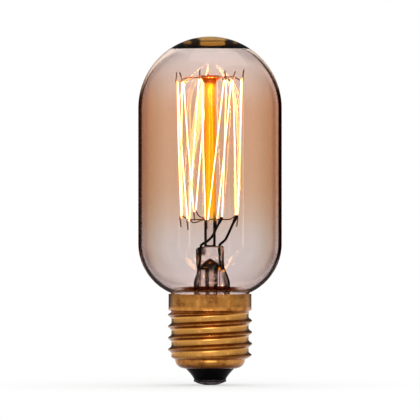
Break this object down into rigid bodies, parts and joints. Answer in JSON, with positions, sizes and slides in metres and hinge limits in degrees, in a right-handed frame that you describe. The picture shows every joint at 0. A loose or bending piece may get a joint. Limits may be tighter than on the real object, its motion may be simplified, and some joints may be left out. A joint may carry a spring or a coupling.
{
  "type": "light bulb",
  "caption": "Tubular carbon filament lamp: amber glass with a domed top, a long filament strung between two crowns of wire hooks on a glass rod, and a brass screw cap",
  "frame": {"origin": "lowest point of the centre contact, on the lamp's axis: the bottom centre of the bounding box", "axes": "+Z is the lamp's axis, from the centre contact up to the top of the glass. -Y is the front, the side that the picture shows. +X is on the right of the front view."},
  "size_m": [0.045, 0.045, 0.1093],
  "materials": {
    "amber_glass": "clear amber-tinted blown glass, polished",
    "clear_glass": "clear lead glass, flame-worked",
    "hook_wire": "dark drawn molybdenum wire",
    "carbon": "glowing carbonised thread",
    "nickel_wire": "dark oxidised nickel wire",
    "seal_wire": "copper-clad seal wire, red where it is sealed in glass",
    "copper_wire": "bare copper wire",
    "aged_brass": "rolled brass, satin, aged",
    "cement": "baked basing cement, matte",
    "black_glass": "opaque black glass, pressed, glossy",
    "contact_brass": "tarnished brass disc",
    "solder": "dull tin-lead solder"
  },
  "bodies": {
    "root": {"glass_envelope": "amber_glass", "stem_flare": "clear_glass", "exhaust_tube": "clear_glass", "support_rod": "clear_glass", "upper_hook_1": "hook_wire", "upper_hook_2": "hook_wire", "upper_hook_3": "hook_wire", "upper_hook_4": "hook_wire", "upper_hook_5": "hook_wire", "upper_hook_6": "hook_wire", "upper_hook_7": "hook_wire", "lower_hook_1": "hook_wire", "lower_hook_2": "hook_wire", "lower_hook_3": "hook_wire", "lower_hook_4": "hook_wire", "lower_hook_5": "hook_wire", "lower_hook_6": "hook_wire", "filament": "carbon", "inner_lead_left": "nickel_wire", "inner_lead_right": "nickel_wire", "seal_wire_left": "seal_wire", "seal_wire_right": "seal_wire", "centre_lead": "copper_wire", "side_lead": "copper_wire", "screw_shell": "aged_brass", "cap_cement": "cement", "cap_insulator": "black_glass", "contact_disc": "contact_brass", "contact_solder": "solder", "side_solder": "solder"}
  },
  "joints": []
}
